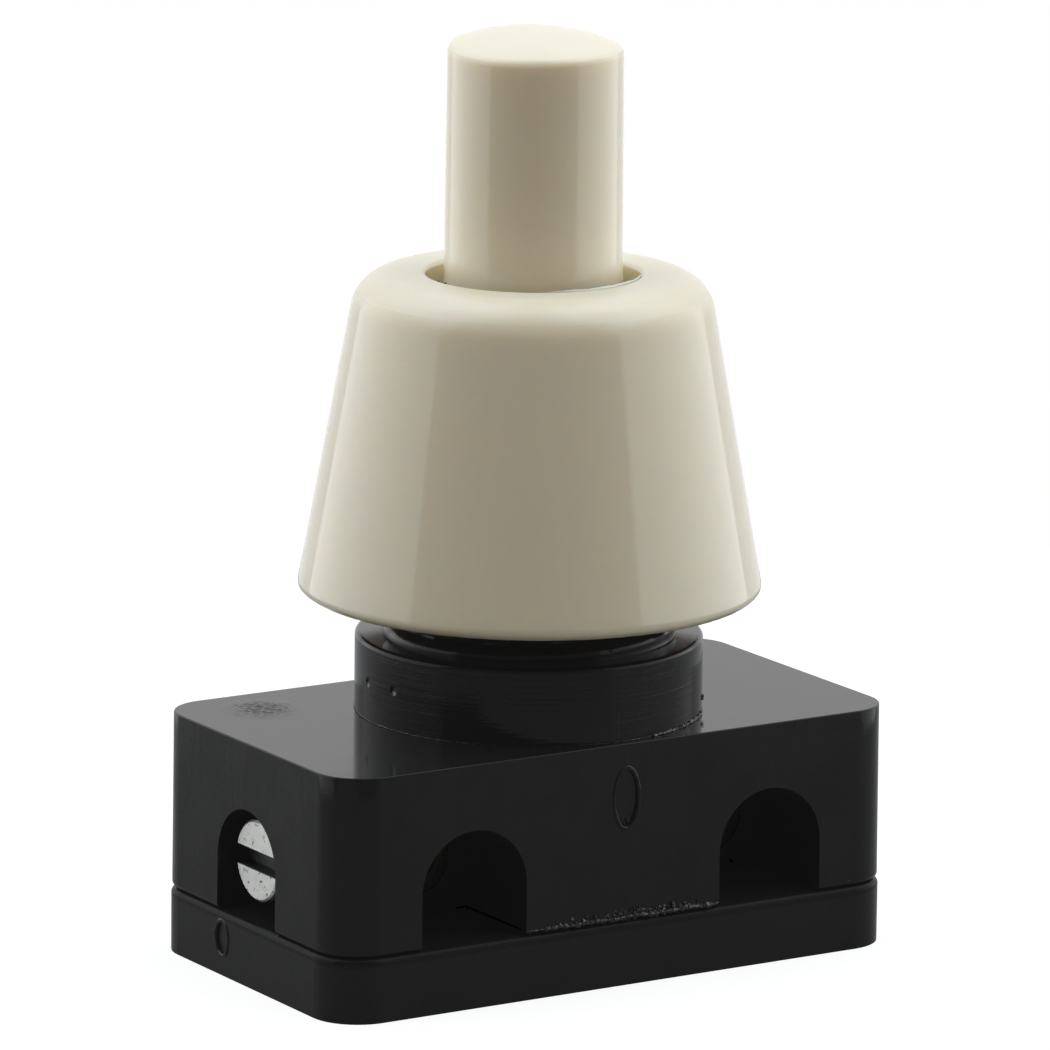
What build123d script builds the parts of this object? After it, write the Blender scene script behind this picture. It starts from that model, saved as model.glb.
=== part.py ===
from build123d import *
import os
from math import radians, tan

# Panel mount press switch: a black moulded body with a threaded neck, an ivory skirted bezel nut
# that clamps the panel, and a long ivory push button.
# Millimetres. +Z is up along the button, X runs along the body's long side, and the two wire
# entries are in the front face, at -Y. The origin is the middle of the base's underside.

# Body
BODY_LENGTH = 30.0
BODY_DEPTH = 16.8
BODY_CORNER = 2.25
BASE_THICKNESS = 3.0
HOUSING_TOP_Z = 11.3
HOUSING_STEP = 0.04  # how far the housing stands back from the base plate, all round
HOUSING_DRAFT = 0.4  # degrees
SEAM_ROUND = 0.3
TOP_ROUND = 0.3
WALL = 1.35
ROOF = 1.5
RIB = 0.95
WELD_RIM = 0.7  # height of the base's rim inside the housing
SEAT_GAP = 0.1  # loose fit between pieces that drop into each other
GATE_DEPTH = 0.1  # shallow oval marks that the moulds leave
HOUSING_GATE_WIDTH = 1.3
HOUSING_GATE_HEIGHT = 2.8
HOUSING_GATE_X = 0.12
HOUSING_GATE_Z = 8.75
BASE_GATE_WIDTH = 1.1
BASE_GATE_HEIGHT = 1.6
BASE_GATE_Y = 2.1
BASE_GATE_Z = 1.75

# Collar and threaded neck
COLLAR_RADIUS = 8.0
COLLAR_TOP_Z = 14.9
COLLAR_ROUND = 0.2
NECK_RADIUS = 6.75
NECK_TOP_Z = 28.0
NECK_CHAMFER = 0.6
NECK_BORE_RADIUS = 4.6
LIP_THICKNESS = 1.2

# Bezel nut
BEZEL_BOTTOM_Z = 16.7
BEZEL_TOP_Z = 31.6
BEZEL_BOTTOM_RADIUS = 10.73
BEZEL_TOP_RADIUS = 8.02
BEZEL_BOTTOM_ROUND = 0.55
BEZEL_TOP_ROUND = 1.95
BEZEL_HOLE_RADIUS = 4.9
BEZEL_HOLE_ROUND = 0.2
BEZEL_TOP_WALL = 1.6
BEZEL_SKIRT_WALL = 1.4
BEZEL_THREAD_LENGTH = 8.0
NECK_FIT = 0.08  # radial gap between the neck's thread and the nut's

# Push button and plunger
BUTTON_RADIUS = 4.0
BUTTON_RIM_Z = 42.05
BUTTON_DOME = 0.83
BUTTON_ROUND = 0.45
BUTTON_DRAFT = 0.38  # degrees, wider towards the bottom
BUTTON_WALL = 1.1
BUTTON_TOP_WALL = 2.4
BUTTON_TRAVEL = 4.5
BUTTON_RUN_GAP = 0.15  # radial gap in the neck's lip
STEM_FIT = 0.05
STEM_CHAMFER = 0.4
STEM_GRIP = 11.5  # how far the plunger's stem reaches into the button
FLANGE_THICKNESS = 1.5
FLANGE_RUN_GAP = 0.2
FLANGE_STOP_GAP = 0.1
KEY_WIDTH = 1.4
KEY_HEIGHT = 0.45
KEY_GAP = 0.15
SHAFT_RADIUS = 2.9
SHAFT_BORE_ROOM = 1.2  # room above the rotor's hub when the button is down

# Rotary contact mechanism
TEETH = 4
TOOTH_SPAN = 45.0  # degrees turned by one press
TOOTH_BACKLASH = 2.0  # degrees
TOOTH_BLUNT = 0.3
TOOTH_TIP_Z = 9.2
CUT_OVERSIZE = 0.5  # how far the ramps' cutter runs past the crown on both sides
CROWN_RADIUS = 2.7
ROTOR_DECK_Z = 4.8
ROTOR_FLANGE = 0.5
ROTOR_FLANGE_RADIUS = 3.6
ROTOR_JOURNAL_RADIUS = 3.0
ROTOR_FLOOR_GAP = 0.3
ROTOR_HUB_RADIUS = 1.2
ROTOR_HUB_GAP = 0.15
ROTOR_RUN_GAP = 0.05
PIVOT_RADIUS = 0.75
PIVOT_HEIGHT = 5.0
PIVOT_DEPTH = 1.8
PIVOT_END_GAP = 0.2
PIVOT_CHAMFER = 0.15
SOCKET_WALL = 0.85
SOCKET_HEIGHT = 1.0
SPRING_RECESS = 0.8
SPRING_RECESS_WIDTH = 1.0
BRIDGE_THICKNESS = 0.3
BRIDGE_RING_RADIUS = 3.4
BRIDGE_ARM_RADIUS = 4.5
BRIDGE_ARM_WIDTH = 2.0
CONTACT_CENTRE = 4.0  # distance of each contact from the rotor's axis
CONTACT_HEAD_RADIUS = 0.5
CONTACT_HEAD = 0.3
CONTACT_ROUND = 0.12
CONTACT_TAIL_RADIUS = 0.38
CONTACT_TAIL = 0.15
CONTACT_SHANK_RADIUS = 0.28
CONTACT_OVERLAP = 0.15  # how far the arms lift the leaves when the switch is on

# Guide bush above the rotor
BUSH_FLANGE = 0.9
BUSH_RISE = 1.4
BUSH_FLANGE_RADIUS = 5.8
BUSH_SIDE_GAP = 1.1  # from the bush's flat sides to the terminal walls
BUSH_BORE_GAP = 0.25
POST_WIDTH = 2.0
POST_THICKNESS = 0.9

# Springs
SPRING_END_GAP = 0.05
RETURN_WIRE = 0.45
RETURN_MEAN_RADIUS = 3.7
RETURN_TURNS = 8
ROTOR_SPRING_WIRE = 0.28
ROTOR_SPRING_TURNS = 2.5

# Terminals
WIRE_ENTRY_INSET = 7.06  # from the body's end to the middle of the wire entry
WIRE_ENTRY_WIDTH = 5.5
WIRE_ENTRY_TOP_Z = 8.25
SCREW_ENTRY_WIDTH = 5.2
SCREW_ENTRY_TOP_Z = 8.2
SCREW_Z = 5.78
SCREW_HEAD_RADIUS = 2.0
SCREW_HEAD = 1.6
SCREW_HEAD_INSET = 0.6
SCREW_HEAD_CHAMFER = 0.22
SCREW_SLOT_WIDTH = 0.95
SCREW_SLOT_DEPTH = 0.8
SCREW_SHANK_RADIUS = 1.25
SCREW_TRAVEL = 1.75
SCREW_FIT = 0.05
BLOCK_LENGTH = 4.95
BLOCK_WIDTH = 4.4
BLOCK_HEIGHT = 4.5
BLOCK_CHAMFER = 0.2
WIRE_HOLE_RADIUS = 1.35
WIRE_GUIDE_GAP = 0.3  # the hole in the wall before the block is this much wider, all round
LEAF_THICKNESS = 0.25
LEAF_WIDTH = 2.4
LEAF_TIP = 0.7  # tongue past the contact's centre
LEAF_TAB = 2.0
LEAF_BEND = 0.3
RIVET_HEAD_RADIUS = 0.75
RIVET_HEAD = 0.35
RIVET_SHANK_RADIUS = 0.4
RIVET_DEPTH = 0.4

# Values that follow from the ones above
HOUSING_LENGTH = BODY_LENGTH - 2 * HOUSING_STEP
HOUSING_DEPTH = BODY_DEPTH - 2 * HOUSING_STEP
HOUSING_CORNER = BODY_CORNER - HOUSING_STEP
CAVITY_LENGTH = HOUSING_LENGTH - 2 * WALL
CAVITY_DEPTH = HOUSING_DEPTH - 2 * WALL
CAVITY_CORNER = HOUSING_CORNER - WALL
FLOOR_Z = BASE_THICKNESS
ROOF_Z = HOUSING_TOP_Z - ROOF
LIP_BOTTOM_Z = NECK_TOP_Z - LIP_THICKNESS

FLANGE_TOP_Z = LIP_BOTTOM_Z - FLANGE_STOP_GAP
FLANGE_BOTTOM_Z = FLANGE_TOP_Z - FLANGE_THICKNESS
FLANGE_RADIUS = NECK_BORE_RADIUS - FLANGE_RUN_GAP
KEY_RADIUS = FLANGE_RADIUS + KEY_HEIGHT
BUTTON_CROWN_Z = BUTTON_RIM_Z + BUTTON_DOME
BUTTON_BORE_RADIUS = BUTTON_RADIUS - BUTTON_WALL
BUTTON_FOOT_RADIUS = BUTTON_RADIUS + (BUTTON_RIM_Z - FLANGE_TOP_Z) * tan(radians(BUTTON_DRAFT))
LIP_RADIUS = BUTTON_FOOT_RADIUS + BUTTON_RUN_GAP

TOOTH_RATE = TOOTH_SPAN / BUTTON_TRAVEL  # degrees of turn for each millimetre of press
TOOTH_ROOT_Z = TOOTH_TIP_Z + BUTTON_TRAVEL
CROWN_TOP_Z = TOOTH_TIP_Z - TOOTH_BLUNT
ROTOR_BOTTOM_Z = FLOOR_Z + ROTOR_FLOOR_GAP
RECESS_TOP_Z = ROTOR_BOTTOM_Z + SPRING_RECESS
RECESS_INNER = ROTOR_HUB_RADIUS + ROTOR_HUB_GAP
RECESS_OUTER = RECESS_INNER + SPRING_RECESS_WIDTH
PIVOT_TOP_Z = FLOOR_Z + PIVOT_HEIGHT
BUSH_BOTTOM_Z = ROOF_Z - BUSH_FLANGE
BUSH_TOP_Z = ROOF_Z + BUSH_RISE

WIRE_ENTRY_X = BODY_LENGTH / 2 - WIRE_ENTRY_INSET
SCREW_FACE_X = BODY_LENGTH / 2 - SCREW_HEAD_INSET
SCREW_SEAT_X = SCREW_FACE_X - SCREW_HEAD
SCREW_TIP_X = WIRE_ENTRY_X + WIRE_HOLE_RADIUS
BLOCK_OUTER_X = SCREW_SEAT_X - SCREW_TRAVEL - SCREW_FIT
BLOCK_INNER_X = BLOCK_OUTER_X - BLOCK_LENGTH
BLOCK_BOTTOM_Z = SCREW_Z - BLOCK_HEIGHT / 2
BLOCK_TOP_Z = SCREW_Z + BLOCK_HEIGHT / 2
TERMINAL_WALL_X = BLOCK_INNER_X - SEAT_GAP - RIB
BUSH_FLANGE_WIDTH = 2 * (TERMINAL_WALL_X - BUSH_SIDE_GAP)
TAB_X = BLOCK_INNER_X - LEAF_THICKNESS
BRIDGE_TOP_Z = ROTOR_DECK_Z + BRIDGE_THICKNESS
LEAF_CONTACT_Z = BRIDGE_TOP_Z + CONTACT_HEAD - CONTACT_OVERLAP
LEAF_BOTTOM_Z = LEAF_CONTACT_Z + CONTACT_HEAD
LEAF_TOP_Z = LEAF_BOTTOM_Z + LEAF_THICKNESS
LEAF_END_Z = LEAF_BOTTOM_Z + LEAF_TAB
RIVET_Z = (LEAF_TOP_Z + LEAF_END_Z) / 2


def at(z):
    return Plane.XY.offset(z)


def disc(radius, low, high):
    return extrude(at(low) * Circle(radius), high - low)


def ring(outer, inner, low, high):
    return extrude(at(low) * (Circle(outer) - Circle(inner)), high - low)


def slab(x0, x1, y0, y1, z0, z1):
    middle = Location(((x0 + x1) / 2, (y0 + y1) / 2, (z0 + z1) / 2))
    return middle * Box(x1 - x0, y1 - y0, z1 - z0)


def bar_x(radius, x0, x1, z):
    """A round bar along X, at height z."""
    return extrude(Plane.YZ.offset(x0) * Pos(0, z) * Circle(radius), x1 - x0)


def on_side(shape, side):
    """A right-hand piece as it is (side 1), or mirrored to the left (side -1)."""
    return shape if side > 0 else mirror(shape, Plane.YZ)


def crown_edge(shape):
    """The highest edge of a round piece."""
    return shape.edges().sort_by(Axis.Z)[-1]


# The body

def arch(width, top_z):
    """An upright slot with a round top, open down to the seam and below."""
    radius = width / 2
    leg = Pos(0, (top_z - radius) / 2) * Rectangle(width, top_z - radius)
    return leg + Pos(0, top_z - radius) * Circle(radius)


def wire_tunnel(side):
    """The way in for one wire: an arched entry, then a round hole to its terminal block."""
    wall_y = BLOCK_WIDTH / 2 + SEAT_GAP + RIB
    face = Plane.XZ.offset(wall_y) * Pos(side * WIRE_ENTRY_X, 0)
    entry = extrude(face * arch(WIRE_ENTRY_WIDTH, WIRE_ENTRY_TOP_Z), BODY_DEPTH / 2)
    face = Plane.XZ.offset(BLOCK_WIDTH / 2) * Pos(side * WIRE_ENTRY_X, SCREW_Z)
    return entry + extrude(face * Circle(WIRE_HOLE_RADIUS + WIRE_GUIDE_GAP), wall_y)


def screw_tunnel():
    """The way in for a screwdriver, from the right end of the body to the terminal block."""
    face = Plane.YZ.offset(BLOCK_OUTER_X)
    return extrude(face * arch(SCREW_ENTRY_WIDTH, SCREW_ENTRY_TOP_Z), BODY_LENGTH / 2)


def terminal_walls():
    """Walls round the right terminal block, its wire tunnel and its screw tunnel."""
    block_x1 = BLOCK_OUTER_X + SEAT_GAP + RIB
    block_y = BLOCK_WIDTH / 2 + SEAT_GAP + RIB
    wire_x = WIRE_ENTRY_WIDTH / 2 + RIB
    end_y = SCREW_ENTRY_WIDTH / 2 + RIB
    walls = slab(TERMINAL_WALL_X, block_x1, -block_y, block_y, FLOOR_Z, ROOF_Z)
    walls += slab(WIRE_ENTRY_X - wire_x, WIRE_ENTRY_X + wire_x, -CAVITY_DEPTH / 2,
                  -BLOCK_WIDTH / 2, FLOOR_Z, ROOF_Z)
    walls += slab(BLOCK_OUTER_X, CAVITY_LENGTH / 2, -end_y, end_y, FLOOR_Z, ROOF_Z)
    return walls


def terminal_pocket():
    """The room for the right terminal block and its contact leaf."""
    block_y = BLOCK_WIDTH / 2 + SEAT_GAP
    leaf_y = LEAF_WIDTH / 2 + SEAT_GAP
    pocket_x0 = BLOCK_INNER_X - SEAT_GAP
    pocket_x1 = BLOCK_OUTER_X + SEAT_GAP
    pocket = slab(pocket_x0, pocket_x1, -block_y, block_y, FLOOR_Z, BLOCK_TOP_Z + SEAT_GAP)
    return pocket + slab(pocket_x0 - RIB, pocket_x0, -leaf_y, leaf_y, FLOOR_Z,
                         BLOCK_TOP_Z + SEAT_GAP)


def gate_mark(face, width, height):
    """What a shallow oval mark takes out of a face."""
    return extrude(face * Ellipse(width / 2, height / 2), GATE_DEPTH, both=True)


def make_upper_housing():
    outline = at(FLOOR_Z) * RectangleRounded(HOUSING_LENGTH, HOUSING_DEPTH, HOUSING_CORNER)
    body = extrude(outline, HOUSING_TOP_Z - FLOOR_Z, taper=HOUSING_DRAFT)
    body = fillet(body.faces().sort_by(Axis.Z)[-1].edges(), TOP_ROUND)
    body = fillet(body.faces().sort_by(Axis.Z)[0].edges(), SEAM_ROUND)
    cavity = at(FLOOR_Z) * RectangleRounded(CAVITY_LENGTH, CAVITY_DEPTH, CAVITY_CORNER)
    body -= extrude(cavity, ROOF_Z - FLOOR_Z)
    for side in (-1, 1):
        body += on_side(terminal_walls(), side)
    for side in (-1, 1):
        body -= on_side(terminal_pocket(), side)
        body -= on_side(screw_tunnel(), side)
        body -= wire_tunnel(side)
    collar = disc(COLLAR_RADIUS, HOUSING_TOP_Z - ROOF / 2, COLLAR_TOP_Z)
    body += fillet(crown_edge(collar), COLLAR_ROUND)
    neck = disc(NECK_RADIUS, HOUSING_TOP_Z - ROOF / 2, NECK_TOP_Z)
    body += chamfer(crown_edge(neck), NECK_CHAMFER)
    body -= disc(NECK_BORE_RADIUS, ROOF_Z, LIP_BOTTOM_Z)
    body -= disc(LIP_RADIUS, LIP_BOTTOM_Z, NECK_TOP_Z)
    keyway_x = KEY_RADIUS + KEY_GAP
    keyway_y = KEY_WIDTH / 2 + KEY_GAP
    body -= slab(-keyway_x, keyway_x, -keyway_y, keyway_y, ROOF_Z, LIP_BOTTOM_Z)
    face_y = HOUSING_DEPTH / 2 - (HOUSING_GATE_Z - FLOOR_Z) * tan(radians(HOUSING_DRAFT))
    gate = Plane.XZ.offset(face_y) * Pos(HOUSING_GATE_X, HOUSING_GATE_Z)
    return body - gate_mark(gate, HOUSING_GATE_WIDTH, HOUSING_GATE_HEIGHT)


def weld_rim():
    """A low rim that locates the base in the housing, open at the terminal walls."""
    length = CAVITY_LENGTH - 2 * SEAT_GAP
    depth = CAVITY_DEPTH - 2 * SEAT_GAP
    corner = CAVITY_CORNER - SEAT_GAP
    outer = RectangleRounded(length, depth, corner)
    inner = RectangleRounded(length - 2 * RIB, depth - 2 * RIB, corner)
    rim = extrude(at(FLOOR_Z) * (outer - inner), WELD_RIM)
    wire_x = WIRE_ENTRY_WIDTH / 2 + RIB + SEAT_GAP
    end_y = SCREW_ENTRY_WIDTH / 2 + RIB + SEAT_GAP
    top_z = FLOOR_Z + WELD_RIM
    for side in (-1, 1):
        middle = side * WIRE_ENTRY_X
        rim -= slab(middle - wire_x, middle + wire_x, -BODY_DEPTH / 2, 0, FLOOR_Z, top_z)
        end = slab(BLOCK_OUTER_X, BODY_LENGTH / 2, -end_y, end_y, FLOOR_Z, top_z)
        rim -= on_side(end, side)
    return rim


def make_base_cover():
    base = extrude(RectangleRounded(BODY_LENGTH, BODY_DEPTH, BODY_CORNER), BASE_THICKNESS)
    base = fillet(base.faces().sort_by(Axis.Z)[-1].edges(), SEAM_ROUND)
    base += weld_rim()
    socket = ROTOR_JOURNAL_RADIUS + ROTOR_RUN_GAP
    base += ring(socket + SOCKET_WALL, socket, FLOOR_Z, FLOOR_Z + SOCKET_HEIGHT)
    post = slab(-POST_WIDTH / 2, POST_WIDTH / 2, BUSH_FLANGE_RADIUS - POST_THICKNESS,
                BUSH_FLANGE_RADIUS, FLOOR_Z, BUSH_BOTTOM_Z)
    base += post + mirror(post, Plane.XZ)
    pad = slab(BLOCK_INNER_X + RIB, BLOCK_OUTER_X - RIB, -RIB, RIB, FLOOR_Z, BLOCK_BOTTOM_Z)
    base += pad + mirror(pad, Plane.YZ)
    gate = Plane.YZ.offset(-BODY_LENGTH / 2) * Pos(BASE_GATE_Y, BASE_GATE_Z)
    base -= gate_mark(gate, BASE_GATE_WIDTH, BASE_GATE_HEIGHT)
    return base - disc(PIVOT_RADIUS, FLOOR_Z - PIVOT_DEPTH, FLOOR_Z)


def make_guide_bush():
    """Spring seat and plunger guide, held against the roof by the base's two posts."""
    wing = Circle(BUSH_FLANGE_RADIUS) & Rectangle(BUSH_FLANGE_WIDTH, 2 * BUSH_FLANGE_RADIUS)
    bush = extrude(at(BUSH_BOTTOM_Z) * wing, BUSH_FLANGE)
    bush += disc(NECK_BORE_RADIUS - SEAT_GAP, ROOF_Z, BUSH_TOP_Z)
    return bush - disc(SHAFT_RADIUS + BUSH_BORE_GAP, BUSH_BOTTOM_Z, BUSH_TOP_Z)


def make_bezel_nut():
    slope = (BEZEL_BOTTOM_RADIUS - BEZEL_TOP_RADIUS) / (BEZEL_TOP_Z - BEZEL_BOTTOM_Z)
    thread_radius = NECK_RADIUS + NECK_FIT
    ceiling_z = BEZEL_TOP_Z - BEZEL_TOP_WALL
    thread_foot_z = ceiling_z - BEZEL_THREAD_LENGTH
    skirt_foot = BEZEL_BOTTOM_RADIUS - BEZEL_SKIRT_WALL
    skirt_head = skirt_foot - slope * (thread_foot_z - BEZEL_BOTTOM_Z)
    section = Polygon(
        (BEZEL_HOLE_RADIUS, BEZEL_TOP_Z),
        (BEZEL_TOP_RADIUS, BEZEL_TOP_Z),
        (BEZEL_BOTTOM_RADIUS, BEZEL_BOTTOM_Z),
        (skirt_foot, BEZEL_BOTTOM_Z),
        (skirt_head, thread_foot_z),
        (thread_radius, thread_foot_z),
        (thread_radius, ceiling_z),
        (BEZEL_HOLE_RADIUS, ceiling_z),
        align=None,
    )
    rounds = (
        (BEZEL_TOP_RADIUS, BEZEL_TOP_Z, BEZEL_TOP_ROUND),
        (BEZEL_BOTTOM_RADIUS, BEZEL_BOTTOM_Z, BEZEL_BOTTOM_ROUND),
        (BEZEL_HOLE_RADIUS, BEZEL_TOP_Z, BEZEL_HOLE_ROUND),
    )
    for x, z, radius in rounds:
        section = fillet(section.vertices().sort_by_distance((x, z, 0))[0], radius)
    return revolve(Plane.XZ * section, Axis.Z)


# The button and its plunger

def make_push_button():
    dome_radius = (BUTTON_RADIUS**2 + BUTTON_DOME**2) / (2 * BUTTON_DOME)
    bore_top_z = BUTTON_CROWN_Z - BUTTON_TOP_WALL
    rim = (BUTTON_RADIUS, BUTTON_RIM_Z)
    crown = (0, BUTTON_CROWN_Z)
    walls = Polyline(
        rim,
        (BUTTON_FOOT_RADIUS, FLANGE_TOP_Z),
        (BUTTON_BORE_RADIUS, FLANGE_TOP_Z),
        (BUTTON_BORE_RADIUS, bore_top_z),
        (0, bore_top_z),
        crown,
    )
    section = make_face(walls + RadiusArc(crown, rim, dome_radius))
    section = fillet(section.vertices().sort_by_distance((*rim, 0))[0], BUTTON_ROUND)
    return revolve(Plane.XZ * section, Axis.Z)


def sector(inner, outer, start, span):
    """A flat ring sector that starts at an angle and spans less than 180 degrees."""
    reach = 2 * outer
    half = reach * tan(radians(span / 2))
    wedge = Rot(0, 0, start + span / 2) * Polygon((0, 0), (reach, -half), (reach, half), align=None)
    return (Circle(outer) - Circle(inner)) & wedge


def ramp_tooth(inner, low, high, start, ramp_angle, rises):
    """One crown tooth: an upright sector from the start angle, cut off by a helical ramp.

    The ramp stands at ramp_angle at height low and turns TOOTH_RATE degrees for each millimetre
    upwards. The tooth lies after the ramp if it rises from a deck, and before it if it hangs.
    """
    height = high - low
    upright = extrude(at(low) * sector(inner, CROWN_RADIUS, start, TOOTH_SPAN), height)
    kept_span = 2 * TOOTH_SPAN
    kept_start = ramp_angle if rises else ramp_angle - kept_span
    kept = at(low) * sector(inner - CUT_OVERSIZE, CROWN_RADIUS + CUT_OVERSIZE, kept_start, kept_span)
    twisted = Solid.extrude_linear_with_rotation(
        kept.faces()[0], (0, 0, low), (0, 0, height), TOOTH_RATE * height)
    return upright & twisted


def make_drive_plunger():
    """Stem, keyed flange and shaft, with helical teeth that push the rotor round."""
    bore = ROTOR_HUB_RADIUS + ROTOR_HUB_GAP
    stem = disc(BUTTON_BORE_RADIUS - STEM_FIT, FLANGE_TOP_Z, FLANGE_TOP_Z + STEM_GRIP)
    plunger = chamfer(crown_edge(stem), STEM_CHAMFER)
    plunger += disc(FLANGE_RADIUS, FLANGE_BOTTOM_Z, FLANGE_TOP_Z)
    keys = Rectangle(2 * KEY_RADIUS, KEY_WIDTH) & Circle(KEY_RADIUS)
    plunger += extrude(at(FLANGE_BOTTOM_Z) * keys, FLANGE_THICKNESS)
    plunger += disc(SHAFT_RADIUS, TOOTH_ROOT_Z, FLANGE_BOTTOM_Z)
    low = TOOTH_TIP_Z + TOOTH_BLUNT
    for i in range(TEETH):
        start = i * 360 / TEETH
        plunger += ramp_tooth(bore, low, TOOTH_ROOT_Z, start, start + TOOTH_RATE * TOOTH_BLUNT, False)
    bore_top_z = CROWN_TOP_Z + BUTTON_TRAVEL + SHAFT_BORE_ROOM
    return plunger - disc(bore, low, bore_top_z)


def make_ratchet_rotor():
    """Journal, deck and crown teeth, turning on the pivot pin."""
    rotor = disc(ROTOR_JOURNAL_RADIUS, ROTOR_BOTTOM_Z, ROTOR_DECK_Z)
    rotor += disc(ROTOR_FLANGE_RADIUS, ROTOR_DECK_Z - ROTOR_FLANGE, ROTOR_DECK_Z)
    rotor += disc(ROTOR_HUB_RADIUS, ROTOR_DECK_Z, CROWN_TOP_Z)
    ramp = TOOTH_RATE * (ROTOR_DECK_Z - TOOTH_TIP_Z) + TOOTH_BACKLASH
    for i in range(TEETH):
        end = i * 360 / TEETH
        rotor += ramp_tooth(ROTOR_HUB_RADIUS - ROTOR_HUB_GAP, ROTOR_DECK_Z, CROWN_TOP_Z,
                            end - TOOTH_SPAN, end + ramp, True)
    rotor -= ring(RECESS_OUTER, RECESS_INNER, ROTOR_BOTTOM_Z, RECESS_TOP_Z)
    return rotor - disc(PIVOT_RADIUS + ROTOR_RUN_GAP, ROTOR_BOTTOM_Z, PIVOT_TOP_Z + PIVOT_END_GAP)


def make_pivot_pin():
    pin = disc(PIVOT_RADIUS, FLOOR_Z - PIVOT_DEPTH, PIVOT_TOP_Z)
    return chamfer(crown_edge(pin), PIVOT_CHAMFER)


def coil_spring(wire, mean_radius, turns, low, high):
    """A compression spring with its ends ground flat between two heights."""
    ground = wire / 4  # the wire's middle at each end stands this far inside the flat cut
    pitch = (high - low - 2 * ground) / turns
    path = Pos(0, 0, low + ground) * Helix(pitch, pitch * turns, mean_radius)
    section = Plane(path @ 0, z_dir=path % 0) * Circle(wire / 2)
    coil = sweep(section, path, is_frenet=True)
    return coil & disc(mean_radius + wire, low, high)


def make_return_spring():
    return coil_spring(RETURN_WIRE, RETURN_MEAN_RADIUS, RETURN_TURNS, BUSH_TOP_Z,
                       FLANGE_BOTTOM_Z - SPRING_END_GAP)


def make_rotor_spring():
    return coil_spring(ROTOR_SPRING_WIRE, (RECESS_INNER + RECESS_OUTER) / 2, ROTOR_SPRING_TURNS,
                       FLOOR_Z, RECESS_TOP_Z - SPRING_END_GAP)


# Contacts and terminals

def make_contact_bridge():
    """A stamped ring with two arms, pressed over the rotor's crown."""
    blank = Circle(BRIDGE_RING_RADIUS) + Rectangle(BRIDGE_ARM_WIDTH, 2 * BRIDGE_ARM_RADIUS)
    blank = (blank & Circle(BRIDGE_ARM_RADIUS)) - Circle(CROWN_RADIUS + SEAT_GAP)
    bridge = extrude(at(ROTOR_DECK_Z) * blank, BRIDGE_THICKNESS)
    for side in (-1, 1):
        hole = disc(CONTACT_SHANK_RADIUS, ROTOR_DECK_Z, BRIDGE_TOP_Z)
        bridge -= Pos(0, side * CONTACT_CENTRE, 0) * hole
    return bridge


def contact_rivet(plate):
    """A contact rivet standing on z 0, through a plate below it, with its tail turned over."""
    head = fillet(crown_edge(disc(CONTACT_HEAD_RADIUS, 0, CONTACT_HEAD)), CONTACT_ROUND)
    shank = disc(CONTACT_SHANK_RADIUS, -plate, 0)
    return head + shank + disc(CONTACT_TAIL_RADIUS, -plate - CONTACT_TAIL, -plate)


def make_bridge_contact(side):
    return Pos(0, side * CONTACT_CENTRE, BRIDGE_TOP_Z) * contact_rivet(BRIDGE_THICKNESS)


def make_leaf_contact(side):
    hanging = Rot(180, 0, 0) * contact_rivet(LEAF_THICKNESS)
    return Pos(side * CONTACT_CENTRE, 0, LEAF_BOTTOM_Z) * hanging


def make_contact_leaf(side):
    """A spring strip riveted to the block's inner face, bent to reach over the bridge's arms."""
    tip_x = CONTACT_CENTRE - LEAF_TIP
    tongue = slab(tip_x, BLOCK_INNER_X, -LEAF_WIDTH / 2, LEAF_WIDTH / 2, LEAF_BOTTOM_Z, LEAF_TOP_Z)
    tab = slab(TAB_X, BLOCK_INNER_X, -LEAF_WIDTH / 2, LEAF_WIDTH / 2, LEAF_BOTTOM_Z, LEAF_END_Z)
    leaf = tongue + tab
    bend = leaf.edges().filter_by(Axis.Y).sort_by_distance((BLOCK_INNER_X, 0, LEAF_BOTTOM_Z))[0]
    leaf = fillet(bend, LEAF_BEND)
    leaf -= bar_x(RIVET_SHANK_RADIUS, TAB_X, BLOCK_INNER_X, RIVET_Z)
    leaf -= Pos(CONTACT_CENTRE, 0, 0) * disc(CONTACT_SHANK_RADIUS, LEAF_BOTTOM_Z, LEAF_TOP_Z)
    return on_side(leaf, side)


def make_leaf_rivet(side):
    rivet = bar_x(RIVET_HEAD_RADIUS, TAB_X - RIVET_HEAD, TAB_X, RIVET_Z)
    rivet += bar_x(RIVET_SHANK_RADIUS, TAB_X, BLOCK_INNER_X + RIVET_DEPTH, RIVET_Z)
    return on_side(rivet, side)


def make_terminal_block(side):
    """A brass block with a cross hole for the wire and a tapped hole for its screw."""
    block = slab(BLOCK_INNER_X, BLOCK_OUTER_X, -BLOCK_WIDTH / 2, BLOCK_WIDTH / 2,
                 BLOCK_BOTTOM_Z, BLOCK_TOP_Z)
    block = chamfer(block.edges(), BLOCK_CHAMFER)
    block -= Pos(WIRE_ENTRY_X, 0, SCREW_Z) * Rot(90, 0, 0) * Cylinder(WIRE_HOLE_RADIUS, BLOCK_WIDTH)
    block -= bar_x(SCREW_SHANK_RADIUS + SCREW_FIT, WIRE_ENTRY_X, BLOCK_OUTER_X, SCREW_Z)
    block -= bar_x(RIVET_SHANK_RADIUS, BLOCK_INNER_X, BLOCK_INNER_X + RIVET_DEPTH, RIVET_Z)
    return on_side(block, side)


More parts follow.
